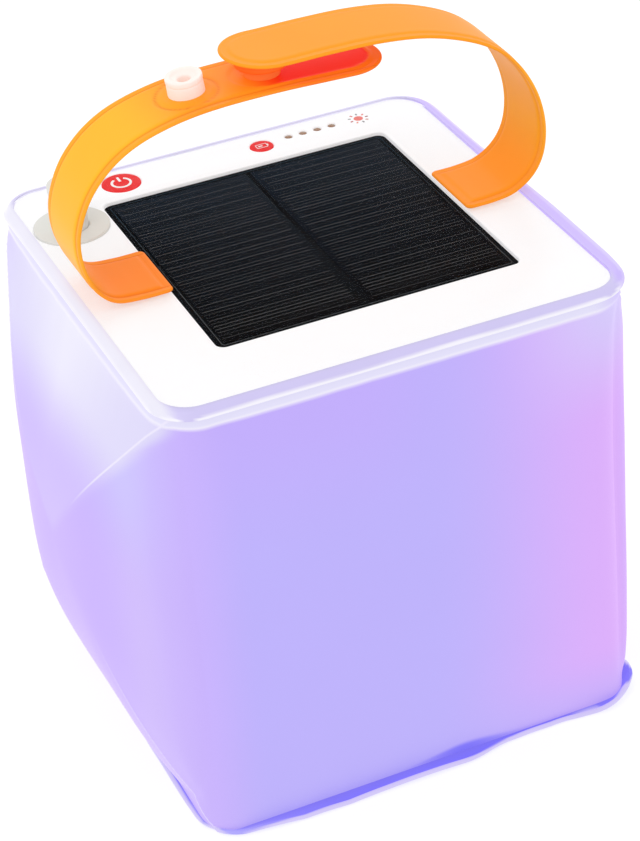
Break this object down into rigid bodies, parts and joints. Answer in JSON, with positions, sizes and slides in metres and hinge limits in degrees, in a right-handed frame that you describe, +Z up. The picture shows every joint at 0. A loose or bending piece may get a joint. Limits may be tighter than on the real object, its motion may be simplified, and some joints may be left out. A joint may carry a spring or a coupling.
{
  "type": "solar lantern",
  "caption": "Inflatable cube solar lantern: frosted film bag that collapses under a flat head with a solar panel, push buttons, valve and snap-together strap handle.",
  "frame": {"origin": "centre of the bottom face that the lantern stands on", "axes": "+Z up, +X towards the right strap, +Y towards the edge with the buttons; the front is -Y"},
  "size_m": [0.1864, 0.1644, 0.2271],
  "materials": {
    "frosted_film": "frosted translucent film lit from inside",
    "clear_film": "clear glossy film",
    "white_plastic": "smooth white moulded plastic",
    "strap_orange": "satin translucent orange strap film",
    "snap_plastic": "translucent white moulded plastic",
    "button_red": "printed red membrane",
    "solar_black": "black laminate",
    "solar_cell": "dark cell with fine contact lines",
    "solar_clear": "clear laminate",
    "valve_plastic": "translucent grey soft plastic",
    "port_rubber": "soft light grey rubber",
    "indicator_lens": "small tinted lens",
    "diffuser": "milky lens",
    "lamp_yellow": "lamp package",
    "board_green": "coated circuit board",
    "switch_black": "moulded",
    "steel": "plated",
    "battery_foil": "foil pouch",
    "foam": "closed cell foam",
    "wire_red": "wire insulation"
  },
  "bodies": {
    "base": {"bottom_film": "frosted_film", "bottom_rim": "frosted_film", "wall_front": "frosted_film", "wall_back": "frosted_film", "wall_left": "frosted_film", "wall_right": "frosted_film"},
    "head": {"top_rim": "clear_film", "top_film": "clear_film", "head_plate": "white_plastic", "back_cover": "white_plastic", "solar_board": "solar_black", "solar_cells_left": "solar_cell", "solar_cells_right": "solar_cell", "solar_cover": "solar_clear", "control_board": "board_green", "power_switch": "switch_black", "level_switch": "switch_black", "indicator_light_1": "indicator_lens", "indicator_light_2": "indicator_lens", "indicator_light_3": "indicator_lens", "indicator_light_4": "indicator_lens", "cover_screw_1": "steel", "cover_screw_2": "steel", "cover_screw_3": "steel", "cover_screw_4": "steel", "port_socket": "steel", "port_tongue": "switch_black", "port_frame": "port_rubber", "battery_cell": "battery_foil", "battery_pad": "foam", "lamp_board_left": "board_green", "lamp_board_right": "board_green", "diffuser_left": "diffuser", "diffuser_right": "diffuser", "lamp_left_1": "lamp_yellow", "lamp_left_2": "lamp_yellow", "lamp_left_3": "lamp_yellow", "lamp_right_1": "lamp_yellow", "lamp_right_2": "lamp_yellow", "lamp_right_3": "lamp_yellow", "battery_lead": "wire_red", "solar_lead": "wire_red", "lamp_lead_left": "wire_red", "lamp_lead_right": "wire_red", "valve_flange": "valve_plastic", "left_strap_tab": "strap_orange", "right_strap_tab": "strap_orange"},
    "power_button": {"power_button": "button_red"},
    "level_button": {"level_button": "button_red"},
    "valve_stem": {"valve_stem": "valve_plastic"},
    "valve_cap": {"valve_cap": "valve_plastic"},
    "check_flap": {"check_flap": "clear_film"},
    "port_cover": {"port_cover": "port_rubber"},
    "left_strap": {"left_strap_band": "strap_orange", "snap_stud_1": "snap_plastic", "snap_stud_2": "snap_plastic"},
    "right_strap": {"right_strap_band": "strap_orange", "snap_socket": "strap_orange"}
  },
  "joints": [
    {"name": "bag_collapse", "type": "slide", "parent": "base", "child": "head", "axis": [0, 0, 1], "range_m": [-0.133, 0], "deforming": ["wall_front", "wall_back", "wall_left", "wall_right"]},
    {"name": "power_press", "type": "slide", "parent": "head", "child": "power_button", "axis": [0, 0, 1], "range_m": [-0.0008, 0], "stiffness_N_per_m": 400},
    {"name": "level_press", "type": "slide", "parent": "head", "child": "level_button", "axis": [0, 0, 1], "range_m": [-0.0008, 0], "stiffness_N_per_m": 300},
    {"name": "stem_push", "type": "slide", "parent": "head", "child": "valve_stem", "axis": [0, 0, 1], "range_m": [-0.0085, 0]},
    {"name": "cap_flip", "type": "hinge", "parent": "valve_stem", "child": "valve_cap", "pos_m": [-0.0601, 0.0518, 0.17235], "axis": [-1, 0, 0], "range_deg": [0, 120]},
    {"name": "flap_swing", "type": "hinge", "parent": "head", "child": "check_flap", "pos_m": [-0.0601, 0.0514, 0.14425], "axis": [1, 0, 0], "range_deg": [0, 40], "stiffness_Nm_per_rad": 0.0002},
    {"name": "port_cover_flip", "type": "hinge", "parent": "head", "child": "port_cover", "pos_m": [-0.008, 0.0768, 0.1502], "axis": [-1, 0, 0], "range_deg": [0, 110]},
    {"name": "strap_fold", "type": "hinge", "parent": "head", "child": "left_strap", "pos_m": [-0.06849, 0.0017, 0.19911], "axis": [0, 1, 0], "range_deg": [0, 28], "stiffness_Nm_per_rad": 0.25},
    {"name": "strap_open", "type": "hinge", "parent": "head", "child": "right_strap", "pos_m": [0.07055, 0.0017, 0.20791], "axis": [0, 1, 0], "range_deg": [0, 100]}
  ]
}
